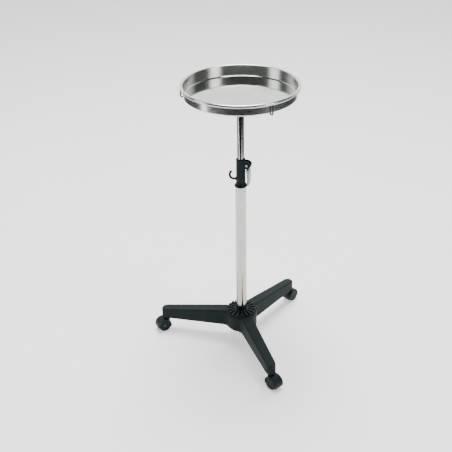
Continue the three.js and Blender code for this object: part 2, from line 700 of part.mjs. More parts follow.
function addBase(cart) {
  const washerTop = armUnderside + SOCKET_RECESS - GAP;
  const washerBottom = washerTop - FOOT_WASHER;
  const headTop = washerBottom - GAP;
  const boltRadius = FOOT_BOLT_DIAMETER / 2;
  const washer = ring(boltRadius + GAP, FOOT_WASHER_DIAMETER / 2, washerBottom, washerTop, SMALL);
  const bolt = joined(
    disc(FOOT_BOLT_HEAD_DIAMETER / 2, headTop - FOOT_BOLT_HEAD, headTop, 6),
    disc(boltRadius, headTop - 1, headTop + FOOT_BOLT_LENGTH, SMALL),
  );
  addPiece(cart, "leg_base", legBase(), charcoalPlastic());
  addPiece(cart, "base_collar", baseCollar(), blackPlastic());
  addPiece(cart, "foot_washer", washer, zincSteel());
  addPiece(cart, "foot_bolt", bolt, zincSteel());
}

// ---- Casters: local Z is the stem's axis, local X the way the wheels trail --------------------

function socketBush() {
  const bore = stemRadius + GAP;
  return turned([
    [bore, bushFlangeBottom],
    [BUSH_FLANGE_DIAMETER / 2, bushFlangeBottom],
    [BUSH_FLANGE_DIAMETER / 2, bushFlangeTop],
    [bushRadius, bushFlangeTop],
    [bushRadius, bushTop],
    [0, bushTop],
    [0, bushTop - BUSH_CROWN],
    [bore, bushTop - BUSH_CROWN],
    [bore, bushFlangeBottom],
  ], SMALL);
}

function casterStem() {
  return turned([
    [0, neckTop - STEM_ROOT],
    [stemRadius, neckTop - STEM_ROOT],
    [stemRadius, stemFlangeBottom],
    [STEM_FLANGE_DIAMETER / 2, stemFlangeBottom],
    [STEM_FLANGE_DIAMETER / 2, stemFlangeTop],
    [stemRadius, stemFlangeTop],
    [stemRadius, stemTop - 1],
    [stemRadius - 1, stemTop],
    [0, stemTop],
  ], SMALL);
}

// A hood over both wheels with a web between them and a neck for the stem, in one moulding.
function casterHood() {
  const skirtAngle = THREE.MathUtils.radToDeg(Math.asin((wheelRadius - HOOD_SKIRT) / hoodRadius));
  const outline = arc(CASTER_TRAIL, wheelRadius, hoodRadius, -skirtAngle, 180 + skirtAngle, 16);
  const pocketRadius = wheelRadius + HOOD_CLEARANCE;
  const inner = CASTER_WEB / 2;
  const past = 5;
  const outer = hoodHalfWidth + past;
  const stemHole = stemRadius + GAP;
  return cut(
    joined(
      cheek(outline, 2 * hoodHalfWidth),
      disc(NECK_DIAMETER / 2, wheelRadius, neckTop, SMALL),
    ),
    pinAlongY(pocketRadius, inner, outer, CASTER_TRAIL, wheelRadius, POCKET_FACETS),
    pinAlongY(pocketRadius, -outer, -inner, CASTER_TRAIL, wheelRadius, POCKET_FACETS),
    disc(stemHole, neckTop - STEM_ROOT - GAP, neckTop + 1, SMALL),
    pinAlongY(axleRadius + GAP, -outer, outer, CASTER_TRAIL, wheelRadius),
  );
}

// A wheel's core about the axle: a hub for the tyre, an outer flange and a shallow dish in its face.
function wheelCore() {
  const bore = axleRadius + GAP;
  const tyreSeat = wheelRadius - TYRE_THICKNESS - GAP;
  const flange = wheelRadius - WHEEL_FLANGE_INSET;
  const face = WHEEL_WIDTH / 2;
  const back = -face;
  const seatEnd = face - WHEEL_FLANGE;
  const dishFloor = face - WHEEL_DISH;
  const bossFace = face - WHEEL_BOSS_INSET;
  const chamfer = 1;
  const slope = 2;
  return turned([
    [bore, back],
    [tyreSeat, back],
    [tyreSeat, seatEnd],
    [flange, seatEnd],
    [flange, face - chamfer],
    [flange - chamfer, face],
    [flange - WHEEL_RIM, face],
    [flange - WHEEL_RIM - slope, dishFloor],
    [bore + WHEEL_BOSS_WALL + chamfer, dishFloor],
    [bore + WHEEL_BOSS_WALL, bossFace],
    [bore, bossFace],
    [bore, back],
  ], WHEEL_FACETS);
}

// The tyre's flats lie at the full wheel radius, so a flat stands on the floor, and clear the core.
function wheelTyre() {
  const cornerFactor = 1 / Math.cos(Math.PI / WHEEL_FACETS);
  const outer = wheelRadius * cornerFactor;
  const inner = (wheelRadius - TYRE_THICKNESS) * cornerFactor;
  const from = -WHEEL_WIDTH / 2;
  const to = WHEEL_WIDTH / 2 - WHEEL_FLANGE - GAP;
  const shoulder = 1.2;
  return turned([
    [inner, from],
    [outer - shoulder, from],
    [outer, from + shoulder],
    [outer, to - shoulder],
    [outer - shoulder, to],
    [inner, to],
    [inner, from],
  ], WHEEL_FACETS).rotateZ(Math.PI / WHEEL_FACETS);
}

function addCaster(cart, side) {
  const socket = new THREE.Group();
  socket.rotation.z = radians(ARM_AZIMUTHS[side]);
  const arm = new THREE.Group();
  arm.position.x = CASTER_RADIUS;
  const swivel = new THREE.Group();
  swivel.rotation.z = radians(CASTER_AZIMUTHS[side] - ARM_AZIMUTHS[side]);
  cart.add(socket);
  socket.add(arm);
  arm.add(swivel);
  addPiece(arm, `caster_${side}_bush`, socketBush(), zincSteel());
  addPiece(swivel, `caster_${side}_stem`, casterStem(), zincSteel());
  addPiece(swivel, `caster_${side}_hood`, casterHood(), blackPlastic());
  const axleHalf = hoodHalfWidth - 2;
  const axle = pinAlongY(axleRadius, -axleHalf, axleHalf, CASTER_TRAIL, wheelRadius);
  addPiece(swivel, `caster_${side}_axle`, axle, zincSteel());
  for (const [hand, sign] of [["a", 1], ["b", -1]]) {
    const place = (geometry) =>
      geometry.rotateX((-sign * Math.PI) / 2).translate(CASTER_TRAIL, sign * wheelOffset, wheelRadius);
    addPiece(swivel, `caster_${side}_wheel_${hand}`, place(wheelCore()), blackPlastic());
    addPiece(swivel, `caster_${side}_tyre_${hand}`, place(wheelTyre()), greyTyre());
  }
}

// ---- The whole cart ---------------------------------------------------------------------------

const cart = new THREE.Group();
addTrayAndHolder(cart);
addColumn(cart);
addClamp(cart);
addBase(cart);
for (const side of Object.keys(ARM_AZIMUTHS)) addCaster(cart, side);

const footprint = new THREE.Box3().setFromObject(cart, true).getCenter(new THREE.Vector3());
cart.position.set(-footprint.x, -footprint.y, 0);

export default cart;
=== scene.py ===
"""Visual model of a round instrument cart: steel tray, telescopic column, cam clamp, castor base.

Lengths are in metres: +Z up, the floor at z = 0. Pieces take their places and most of their sizes
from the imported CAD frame.
"""
import json
import math

import bpy
from mathutils import Matrix, Vector


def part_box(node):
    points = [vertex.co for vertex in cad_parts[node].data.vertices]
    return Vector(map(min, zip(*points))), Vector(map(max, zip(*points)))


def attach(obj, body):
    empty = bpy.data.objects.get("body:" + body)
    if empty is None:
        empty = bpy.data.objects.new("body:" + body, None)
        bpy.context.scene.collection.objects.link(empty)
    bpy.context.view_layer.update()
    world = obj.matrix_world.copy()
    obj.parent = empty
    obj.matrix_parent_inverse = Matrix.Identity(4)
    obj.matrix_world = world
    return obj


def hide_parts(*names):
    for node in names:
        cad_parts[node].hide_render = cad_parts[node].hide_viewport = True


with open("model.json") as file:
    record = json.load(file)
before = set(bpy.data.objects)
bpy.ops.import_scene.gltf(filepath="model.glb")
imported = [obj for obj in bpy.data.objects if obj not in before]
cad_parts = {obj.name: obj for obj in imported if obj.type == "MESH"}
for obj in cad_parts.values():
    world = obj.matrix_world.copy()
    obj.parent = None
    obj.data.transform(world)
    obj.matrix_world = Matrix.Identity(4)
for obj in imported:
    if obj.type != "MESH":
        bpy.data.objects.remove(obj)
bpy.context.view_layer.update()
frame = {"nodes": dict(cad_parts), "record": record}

MM = 0.001
BODIES = frame["record"]["behaviour"]["bodies"]
JOINTS = {joint["name"]: joint for joint in frame["record"]["behaviour"]["joints"]}
SLOTS = {part["node"]: part["material_slot"] for part in frame["record"]["subparts"]}
CASTERS = ("front", "right", "left")


def middle(node):
    """Centre of a CAD node's box."""
    low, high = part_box(node)
    return (low + high) / 2


def half_width(node):
    """Radius of a turned CAD node that stands upright."""
    low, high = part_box(node)
    return (high.x - low.x) / 2


COLUMN = Vector((middle("outer_tube").x, middle("outer_tube").y, 0))


# ---- Camera ------------------------------------------------------------------------------------

SENSOR_WIDTH = 36  # millimetres, as the focal length
FOCAL_LENGTH = 59.97
CAMERA_PLACE = Vector((0, -2.3594, 1.9049))  # from the foot of the column
CAMERA_DOWN, CAMERA_YAW, CAMERA_ROLL = 0.5351, -0.0232, -0.0173  # radians


def place_camera():
    """A camera in front of the cart and well above the tray, looking down on it."""
    pitch, yaw, roll = CAMERA_DOWN, CAMERA_YAW, CAMERA_ROLL
    ahead = Vector((math.sin(yaw) * math.cos(pitch), math.cos(yaw) * math.cos(pitch), -math.sin(pitch)))
    level = Vector((math.cos(yaw), -math.sin(yaw), 0))
    upright = level.cross(ahead)
    right = level * math.cos(roll) + upright * math.sin(roll)
    up = upright * math.cos(roll) - level * math.sin(roll)
    data = bpy.data.cameras.new("camera")
    data.sensor_width = SENSOR_WIDTH
    data.lens = FOCAL_LENGTH
    camera = bpy.data.objects.new("camera", data)
    bpy.context.collection.objects.link(camera)
    turn = Matrix((right, up, -ahead)).transposed().to_4x4()
    camera.matrix_world = Matrix.Translation(COLUMN + CAMERA_PLACE) @ turn
    bpy.context.scene.camera = camera


# ---- Modelling helpers -------------------------------------------------------------------------

def select_only(obj):
    bpy.ops.object.select_all(action="DESELECT")
    obj.select_set(True)
    bpy.context.view_layer.objects.active = obj


def edit(obj):
    """Opens the object in edit mode with all of it selected."""
    select_only(obj)
    bpy.ops.object.mode_set(mode="EDIT")
    bpy.ops.mesh.select_all(action="SELECT")


def leave_edit(obj, merge=1e-6):
    """Merges doubles, turns the faces outwards and goes back to object mode."""
    bpy.ops.mesh.select_all(action="SELECT")
    bpy.ops.mesh.remove_doubles(threshold=merge)
    bpy.ops.mesh.normals_make_consistent(inside=False)
    bpy.ops.object.mode_set(mode="OBJECT")


def smooth(obj, angle=35):
    """Shades smooth across edges below the angle in degrees."""
    select_only(obj)
    bpy.ops.object.shade_smooth_by_angle(angle=math.radians(angle))


def apply_modifier(obj, kind, **settings):
    """Adds a modifier with its settings and applies it."""
    modifier = obj.modifiers.new(kind.lower(), kind)
    for name, value in settings.items():
        setattr(modifier, name, value)
    select_only(obj)
    bpy.ops.object.modifier_apply(modifier=modifier.name)


def chain(name, points):
    """An object whose mesh is one open line through the points, left in edit mode."""
    bpy.ops.object.select_all(action="DESELECT")
    bpy.ops.mesh.primitive_plane_add(size=MM, location=(0, 0, 0))
    obj = bpy.context.object
    obj.name = obj.data.name = name
    bpy.ops.object.mode_set(mode="EDIT")
    bpy.ops.mesh.select_all(action="SELECT")
    bpy.ops.mesh.merge(type="CENTER")
    bpy.ops.transform.translate(value=points[0])
    for start, end in zip(points, points[1:]):
        step = Vector(end) - Vector(start)
        bpy.ops.mesh.extrude_region_move(TRANSFORM_OT_translate={"value": step})
    return obj


def rounded(corners, segments=5):
    """2D points along the corners (x, y, radius), each inner corner rounded to its radius."""
    made = []
    for i, (x, y, radius) in enumerate(corners):
        here = Vector((x, y))
        if not radius or i in (0, len(corners) - 1):
            made.append((x, y))
            continue
        before = (Vector(corners[i - 1][:2]) - here).normalized()
        after = (Vector(corners[i + 1][:2]) - here).normalized()
        half = before.angle(after) / 2
        centre = here + (before + after).normalized() * radius / math.sin(half)
        reach = radius / math.tan(half)
        start, end = here + before * reach - centre, here + after * reach - centre
        swing = start.angle_signed(end)
        for k in range(segments + 1):
            spoke = start.copy()
            spoke.rotate(Matrix.Rotation(-swing * k / segments, 2))
            made.append(tuple(centre + spoke))
    return made


def guarded(profile, margin=0.5 * MM, long_run=4 * MM):
    """The profile with a point just inside both ends of each long run, so that the run shades flat."""
    made = [profile[0]]
    for start, end in zip(profile, profile[1:]):
        run = Vector(end) - Vector(start)
        if run.length > long_run:
            step = run.normalized() * margin
            made += [tuple(Vector(start) + step), tuple(Vector(end) - step)]
        made.append(end)
    return made


def spun(name, profile, steps=96, axis_at=COLUMN):
    """A body turned about an upright axis from (radius, height) points."""
    obj = chain(name, [Vector((axis_at.x + r, axis_at.y, z)) for r, z in guarded(profile)])
    bpy.ops.mesh.select_all(action="SELECT")
    bpy.ops.mesh.spin(steps=steps, angle=math.tau, center=axis_at, axis=(0, 0, 1))
    leave_edit(obj)
    smooth(obj)
    return obj


def slab(name, outline, low, high, bevel):
    """A plate with an (x, y) outline between two heights, its sharp edges rounded."""
    obj = chain(name, [Vector((x, y, low)) for x, y in outline])
    bpy.ops.mesh.select_all(action="SELECT")
    bpy.ops.mesh.edge_face_add()
    bpy.ops.mesh.extrude_region_move(TRANSFORM_OT_translate={"value": (0, 0, high - low)})
    leave_edit(obj)
    apply_modifier(obj, "BEVEL", width=bevel, segments=3, limit_method="ANGLE", angle_limit=0.6)
    smooth(obj)
    return obj


def softened(node, name, voxel, rounds):
    """A copy of a CAD node whose edges are rounded as a moulding's are, by remeshing and smoothing."""
    source = frame["nodes"][node]
    obj = source.copy()
    obj.data = source.data.copy()
    obj.name = obj.data.name = name
    obj.parent = None
    obj.matrix_world = Matrix.Identity(4)
    bpy.context.collection.objects.link(obj)
    edit(obj)
    leave_edit(obj)
    apply_modifier(obj, "REMESH", mode="VOXEL", voxel_size=voxel)
    apply_modifier(obj, "SMOOTH", factor=0.5, iterations=rounds)
    select_only(obj)
    bpy.ops.object.shade_smooth()
    return obj


def wire(name, points, diameter):
    """A round bar along the points, with filled ends."""
    data = bpy.data.curves.new(name, "CURVE")
    data.dimensions = "3D"
    data.bevel_depth = diameter / 2
    data.bevel_resolution = 5
    data.use_fill_caps = True
    spline = data.splines.new("POLY")
    spline.points.add(len(points) - 1)
    for point, place in zip(spline.points, points):
        point.co = (*place, 1)
    obj = bpy.data.objects.new(name, data)
    bpy.context.collection.objects.link(obj)
    select_only(obj)
    bpy.ops.object.convert(target="MESH")
    obj = bpy.context.object
    edit(obj)
    leave_edit(obj)
    smooth(obj, angle=50)
    return obj


def copied(obj, name, matrix):
    """A copy with its own mesh, moved by the matrix."""
    twin = obj.copy()
    twin.data = obj.data.copy()
    twin.name = twin.data.name = name
    twin.data.transform(matrix)
    bpy.context.collection.objects.link(twin)
    return twin


def joined(name, *objects):
    """One object from several, under a new name."""
    bpy.ops.object.select_all(action="DESELECT")
    for obj in objects:
        obj.select_set(True)
    bpy.context.view_layer.objects.active = objects[0]
    bpy.ops.object.join()
    objects[0].name = objects[0].data.name = name
    return objects[0]


def stand_for(obj, *nodes):
    """The piece stands in for CAD nodes, and takes their body and finish."""
    body = next(name for name, members in BODIES.items() if nodes[0] in members)
    obj.data.materials.clear()
    obj.data.materials.append(FINISHES[SLOTS[nodes[0]]])
    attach(obj, body)
    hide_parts(*nodes)
    return obj


# ---- Materials ---------------------------------------------------------------------------------

def linear(colour):
    """Linear RGBA from an sRGB hex colour."""
    channels = [int(colour[i:i + 2], 16) / 255 for i in (0, 2, 4)]
    return (*[c / 12.92 if c <= 0.04045 else ((c + 0.055) / 1.055) ** 2.4 for c in channels], 1)


def add_node(material, kind, inputs=None, **settings):
    """A node with its settings, and its inputs set to values or linked to other nodes' outputs."""
    node = material.node_tree.nodes.new(kind)
    for name, value in settings.items():
        setattr(node, name, value)
    for name, value in (inputs or {}).items():
        if isinstance(value, bpy.types.NodeSocket):
            material.node_tree.links.new(value, node.inputs[name])
        else:
            node.inputs[name].default_value = value
    return node


def new_material(name):
    """An empty material, and the object coordinates that its patterns read."""
    material = bpy.data.materials.new(name)
    material.use_nodes = True
    material.node_tree.nodes.clear()
    place = add_node(material, "ShaderNodeTexCoord").outputs["Object"]
    return material, place


def noise(material, place, size, detail=3, roughness=0.5):
    """Noise whose blotches are about the given size in metres."""
    inputs = {"Vector": place, "Scale": 1 / size, "Detail": detail, "Roughness": roughness}
    return add_node(material, "ShaderNodeTexNoise", inputs).outputs["Fac"]


def spread(material, value, low, high, start=0.3, end=0.7):
    """Maps a texture's middle range onto low to high."""
    inputs = {"Value": value, "From Min": start, "From Max": end, "To Min": low, "To Max": high}
    return add_node(material, "ShaderNodeMapRange", inputs).outputs["Result"]


def blend_colours(material, factor, first, second):
    """Blends two hex colours."""
    ends = {6: linear(first), 7: linear(second)}
    return add_node(material, "ShaderNodeMix", {"Factor": factor, **ends}, data_type="RGBA").outputs[2]


def bump(material, height, depth, strength=1.0):
    """A normal from a height map whose full range is the given depth in metres."""
    inputs = {"Height": height, "Distance": depth, "Strength": strength}
    return add_node(material, "ShaderNodeBump", inputs).outputs["Normal"]


def finish_material(material, **inputs):
    """Ends a material with a shader whose inputs are given."""
    shader = add_node(material, "ShaderNodeBsdfPrincipled", inputs)
    add_node(material, "ShaderNodeOutputMaterial", {"Surface": shader.outputs["BSDF"]})
    return material


def polished_stainless():
    """Pressed stainless sheet: a near mirror with turned lines, faint smears and slight waviness."""
    material, place = new_material("polished_stainless_sheet")
    from_column = {0: place, 1: COLUMN}
    centred = add_node(material, "ShaderNodeVectorMath", from_column, operation="SUBTRACT").outputs[0]
    line_pitch = 1.3 * math.pi * MM  # coarser than real turned lines, which would be too fine to show
    rings = add_node(material, "ShaderNodeTexWave", {
        "Vector": centred,
        "Scale": math.pi / 10 / line_pitch,  # one wave of the texture is pi / 10 long at scale 1
        "Distortion": 0.6,
        "Detail": 3,
        "Detail Scale": 4,
        "Detail Roughness": 0.7,
    }, wave_type="RINGS", rings_direction="Z").outputs["Fac"]
    smears = noise(material, place, 60 * MM, detail=5, roughness=0.6)
    ripple = noise(material, place, 90 * MM, detail=1)
    # The floor keeps the sheet's mirror; the drawn wall is duller. Smears dull both in patches.
    height = add_node(material, "ShaderNodeSeparateXYZ", {0: place}).outputs["Z"]
    tray_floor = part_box("tray_pan")[0].z
    wall = spread(material, height, 0.0, 0.14, tray_floor + 1 * MM, tray_floor + 5 * MM)
    dulled = {0: spread(material, smears, 0.06, 0.1), 1: wall}
    gloss = add_node(material, "ShaderNodeMath", dulled).outputs[0]
    fine = bump(material, rings, 0.004 * MM, 0.2)
    wavy = add_node(material, "ShaderNodeBump", {
        "Height": ripple, "Distance": 0.12 * MM, "Normal": fine, "Strength": 0.4,
    })
    tint = blend_colours(material, spread(material, smears, 0, 1), "CDD0CD", "BFC2BF")
    return finish_material(material, **{
        "Base Color": tint, "Metallic": 1.0, "Roughness": gloss, "Normal": wavy.outputs["Normal"],
    })


def bright_chrome():
    """Plated tube: mirror bright, with finger marks and a very faint drawn grain along the tube."""
    material, place = new_material("bright_chrome_plate")
    marks = noise(material, place, 35 * MM, detail=6, roughness=0.65)
    stretch = {0: place, 1: (1, 1, 0.02)}
    along = add_node(material, "ShaderNodeVectorMath", stretch, operation="MULTIPLY").outputs[0]
    drawn = noise(material, along, 0.8 * MM, detail=2)
    return finish_material(material, **{
        "Base Color": blend_colours(material, spread(material, marks, 0, 1), "B9B6B0", "ACA9A3"),
        "Metallic": 1.0,
        "Roughness": spread(material, marks, 0.06, 0.14),
        "Normal": bump(material, drawn, 0.003 * MM, 0.12),
    })


def zinc_plate():
    """Zinc-plated steel: grey, fairly dull, with cloudy patches."""
    material, place = new_material("zinc_plated_steel")
    clouds = noise(material, place, 6 * MM, detail=4)
    return finish_material(material, **{
        "Base Color": blend_colours(material, spread(material, clouds, 0, 1), "A9ABAD", "8D9093"),
        "Metallic": 1.0,
        "Roughness": spread(material, clouds, 0.28, 0.42),
        "Normal": bump(material, noise(material, place, 0.7 * MM), 0.01 * MM, 0.5),
    })


def dark_plate():
    """Dark plated rod: nearly black, semi-gloss, lighter where the plating has rubbed."""
    material, place = new_material("dark_plated_rod")
    rubbed = noise(material, place, 12 * MM, detail=5, roughness=0.7)
    return finish_material(material, **{
        "Base Color": blend_colours(material, spread(material, rubbed, 0, 1, 0.5, 0.8), "4A4D4F", "7C7E80"),
        "Metallic": 0.85,
        "Roughness": spread(material, rubbed, 0.3, 0.45),
        "Normal": bump(material, noise(material, place, 0.5 * MM), 0.01 * MM, 0.4),
    })


def silver_lacquer():
    """Die-cast lever in silver lacquer: fine sparkle, soft gloss, slight orange peel."""
    material, place = new_material("silver_lacquered_casting")
    flakes = noise(material, place, 0.25 * MM, detail=1)
    peel = noise(material, place, 1.6 * MM, detail=2)
    return finish_material(material, **{
        "Base Color": blend_colours(material, spread(material, flakes, 0, 1), "9DA3A5", "8C9294"),
        "Metallic": 0.75,
        "Roughness": spread(material, peel, 0.34, 0.46),
        "Normal": bump(material, peel, 0.02 * MM, 0.5),
        "Coat Weight": 0.25,
        "Coat Roughness": 0.2,
    })


def moulded_plastic(name, dark, light, grain, depth, gloss, patch=45 * MM):
    """Injection moulding with a spark-eroded grain: tiny pits, a little dust, broad faint changes of tone."""
    material, place = new_material(name)
    cells = add_node(material, "ShaderNodeTexVoronoi", {"Vector": place, "Scale": 1 / grain})
    pits = spread(material, cells.outputs["Distance"], 0, 1, 0.05, 0.6)
    broad = noise(material, place, patch, detail=4, roughness=0.6)
    dust = noise(material, place, 4 * MM, detail=6, roughness=0.75)
    tone = blend_colours(material, spread(material, broad, 0, 1), dark, light)
    settled = {"Factor": spread(material, dust, 0, 0.025, 0.45, 0.75), 6: tone, 7: linear("8A9090")}
    dusty = add_node(material, "ShaderNodeMix", settled, data_type="RGBA")
    return finish_material(material, **{
        "Base Color": dusty.outputs[2],
        "Roughness": spread(material, dust, gloss - 0.05, gloss + 0.07),
        "Specular IOR Level": 0.13,  # low, because the grain breaks up the gloss
        "Normal": bump(material, pits, depth, 0.6),
    })


def tyre_rubber():
    """Soft grey tread: matt and scuffed lighter."""
    material, place = new_material("grey_tyre_rubber")
    scuffs = noise(material, place, 5 * MM, detail=6, roughness=0.7)
    return finish_material(material, **{
        "Base Color": blend_colours(material, spread(material, scuffs, 0, 1), "5C6061", "707475"),
        "Roughness": spread(material, scuffs, 0.7, 0.9),
        "Normal": bump(material, noise(material, place, 0.6 * MM), 0.05 * MM, 0.6),
        "Sheen Weight": 0.1,
    })


FINISHES = {
    "stainless_tray": polished_stainless(),
    "chrome_tube": bright_chrome(),
    "zinc_steel": zinc_plate(),
    "dark_rod": dark_plate(),
    "lever_alloy": silver_lacquer(),
    "charcoal_plastic": moulded_plastic("charcoal_moulding", "0C1919", "111F1F", 0.7 * MM, 0.03 * MM, 0.6),
    "black_plastic": moulded_plastic("black_moulding", "0D181A", "132022", 0.5 * MM, 0.02 * MM, 0.45),
    "white_plastic": moulded_plastic("natural_acetal", "CFCBC2", "D8D5CC", 0.6 * MM, 0.01 * MM, 0.4),
    "grey_tyre": tyre_rubber(),
}


# ---- Tray and holder ---------------------------------------------------------------------------

def arc(x, y, radius, start, end, steps):
    """Points on an arc, in degrees."""
    angles = [math.radians(start + (end - start) * i / steps) for i in range(steps + 1)]
    return [(x + radius * math.cos(a), y + radius * math.sin(a)) for a in angles]


def make_tray():
    """Pressed pan with an outward-rolled open bead."""
    low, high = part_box("tray_pan")
    sheet, corner, bead = 1.2 * MM, 6 * MM, 5.6 * MM
    bead_at = half_width("tray_pan") - bead
    wall = bead_at - bead + sheet
    bend = wall - corner
    profile = [
        (0, low.z),
        *arc(bend, low.z + corner, corner, -90, 0, 12),
        *arc(bead_at, high.z - bead, bead - sheet, 180, -90, 24),
        *arc(bead_at, high.z - bead, bead, -90, 180, 30),
        *arc(bend, low.z + corner, corner - sheet, 0, -90, 12),
        (0, low.z + sheet),
    ]
    stand_for(spun("tray", profile, 192), "tray_pan")


def make_holder():
    """The hub under the tray, with a groove round it and a countersunk top, and its three bent rods."""
    low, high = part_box("holder_hub")
    radius, edge, lip = half_width("holder_hub"), 1.2 * MM, 0.3 * MM
    bore, bore_depth = 13 * MM, 17 * MM
    groove_floor = radius - 0.8 * MM
    screw_hole, screw_head = 3.3 * MM, 6.6 * MM
    hub = rounded([
        (bore, low.z + bore_depth, 0),
        (bore, low.z, 0.6 * MM),
        (radius, low.z, edge),
        (radius, low.z + 9 * MM, lip),
        (groove_floor, low.z + 9.6 * MM, lip),
        (groove_floor, low.z + 11 * MM, lip),
        (radius, low.z + 11.6 * MM, lip),
        (radius, high.z, edge),
        (screw_head, high.z, 0.2 * MM),
        (screw_hole, high.z - (screw_head - screw_hole), 0),
    ])
    stand_for(spun("tray_hub", hub, 96), "holder_hub")
    for side in CASTERS:
        node = f"holder_rod_{side}"
        low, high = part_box(node)
        corners = [vertex.co - COLUMN for vertex in frame["nodes"][node].data.vertices]
        far = max(corners, key=lambda corner: corner.xy.length)
        out = far.xy.normalized()
        thick = 5 * MM
        upright = far.xy.length - thick / 2
        level, bend = low.z + thick / 2, 6 * MM
        root, past_hub = 18.3 * MM, 60 * MM
        line = [(root, level), (past_hub, level)]
        line += arc(upright - bend, level + bend, bend, -90, 0, 10)
        line += [(upright, high.z - 0.1 * MM)]
        points = [(COLUMN.x + out.x * r, COLUMN.y + out.y * r, z) for r, z in line]
        stand_for(wire(f"tray_rod_{side}", points, thick), node)


# ---- Column and clamp --------------------------------------------------------------------------

TUBE_WALL = 1.5 * MM


def make_tube(node, name):
    """A tube with rounded lips, its section drawn from half way up the bore and back."""
    low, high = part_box(node)
    radius, lip = half_width(node), 0.5 * MM
    bore, half_way = radius - TUBE_WALL, (low.z + high.z) / 2
    profile = rounded([
        (bore, half_way, 0),
        (bore, low.z, lip),
        (radius, low.z, lip),
        (radius, high.z, lip),
        (bore, high.z, lip),
        (bore, half_way, 0),
    ], segments=3)
    stand_for(spun(name, profile, 128), node)


def make_clamp():
    """The sleeve, the lever with its pin, and the hook. More rounds of smoothing round an edge more."""
    stand_for(softened("clamp_sleeve", "clamp_sleeve_moulding", voxel=0.72 * MM, rounds=3), "clamp_sleeve")
    stand_for(softened("cam_lever", "clamp_lever", voxel=0.6 * MM, rounds=14), "cam_lever")
    stand_for(softened("cable_hook", "cable_hook_moulding", voxel=0.5 * MM, rounds=2), "cable_hook")
    stand_for(softened("cam_pin", "clamp_pin", voxel=0.35 * MM, rounds=4), "cam_pin")


# ---- Base --------------------------------------------------------------------------------------

COLLAR_RIBS = 18
RIB_SHARE = 0.54  # of the pitch, the rest is groove
FIRST_GROOVE = math.radians(2)


def make_base():
    """The moulded three-arm base."""
    stand_for(softened("leg_base", "three_arm_base", voxel=1.95 * MM, rounds=3), "leg_base")


def make_collar():
    """A flanged ring round the tube's foot, with radial ribs that widen outwards."""
    low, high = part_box("base_collar")
    outer = half_width("base_collar")
    bore, neck = 20.3 * MM, 28 * MM
    floor = low.z + 2.5 * MM
    neck_top = high.z - 0.6 * MM
    body = spun("collar", rounded([
        (bore, floor, 0),
        (bore, low.z, 0.3 * MM),
        (outer, low.z, 0.5 * MM),
        (outer, floor, 0.5 * MM),
        (neck, floor, 0.4 * MM),
        (neck, neck_top, 1 * MM),
        (bore, neck_top, 0.8 * MM),
        (bore, floor, 0),
    ]), steps=144)
    pitch = math.tau / COLLAR_RIBS
    half = pitch * RIB_SHARE / 2
    root = neck - 1.5 * MM
    outline = [(root, -root * half), (outer, -outer * half), (outer, outer * half), (root, root * half)]
    rib = slab("rib", outline, low.z + 1.5 * MM, high.z, bevel=1.1 * MM)
    ribs = []
    for i in range(COLLAR_RIBS):
        turn = Matrix.Rotation(FIRST_GROOVE + pitch / 2 + i * pitch, 4, "Z")
        ribs.append(copied(rib, f"rib_{i}", Matrix.Translation(COLUMN) @ turn))
    bpy.data.objects.remove(rib)
    stand_for(joined("ribbed_collar", body, *ribs), "base_collar")


# ---- Casters -----------------------------------------------------------------------------------

def wheel_place(side, hand):
    """The matrix that takes a wheel modelled about +Z, outer face up, to its place on the axle."""
    spin = JOINTS[f"wheel_{side}_{hand}_spin"]
    centre = middle(f"caster_{side}_wheel_{hand}")
    axle = Vector(spin["axis"])
    outward = axle if (centre - middle(f"caster_{side}_axle")).dot(axle) > 0 else -axle
    return Matrix.Translation(centre) @ outward.to_track_quat("Z", "Y").to_matrix().to_4x4()


ORIGIN = Vector((0, 0, 0))
WHEEL_WIDTH = 15.5 * MM
WHEEL_INSIDE, WHEEL_OUTSIDE = -WHEEL_WIDTH / 2, WHEEL_WIDTH / 2
TYRE_TREAD = 3.4 * MM  # thickness of the soft tread
RIM_FLANGE = 2.6 * MM  # width of the hard rim outside the tread
TREAD_GAP = 0.3 * MM  # between tread and rim


def tyre_ring(radius):
    """The soft tread, about +Z at the origin."""
    bore, tread = radius - TYRE_TREAD, radius - 0.1 * MM
    seam = WHEEL_OUTSIDE - RIM_FLANGE - TREAD_GAP
    return spun("tyre", rounded([
        (bore, 0, 0),
        (bore, WHEEL_INSIDE, 0.3 * MM),
        (tread, WHEEL_INSIDE, 1.8 * MM),
        (tread, seam, 1.4 * MM),
        (bore, seam, 0.3 * MM),
        (bore, 0, 0),
    ]), 72, ORIGIN)


def wheel_core(radius):
    """The hard wheel, about +Z at the origin: an outer flange, a dished face and a low boss."""
    rim = radius - TYRE_TREAD - TREAD_GAP
    edge, flange = radius - 1.4 * MM, WHEEL_OUTSIDE - RIM_FLANGE
    dish, boss = WHEEL_OUTSIDE - 1.6 * MM, WHEEL_OUTSIDE - 0.6 * MM
    bore = 3.3 * MM
    return spun("core", rounded([
        (bore, 0, 0),
        (bore, WHEEL_INSIDE, 0.3 * MM),
        (rim, WHEEL_INSIDE, 0.4 * MM),
        (rim, flange, 0.2 * MM),
        (edge, flange, 0.4 * MM),
        (edge, WHEEL_OUTSIDE, 1.3 * MM),
        (edge - 4 * MM, WHEEL_OUTSIDE, 0.8 * MM),
        (edge - 6 * MM, dish, 0.8 * MM),
        (8 * MM, dish, 0.6 * MM),
        (7 * MM, boss, 0.5 * MM),
        (bore, boss, 0.3 * MM),
        (bore, 0, 0),
    ], segments=4), 72, ORIGIN)


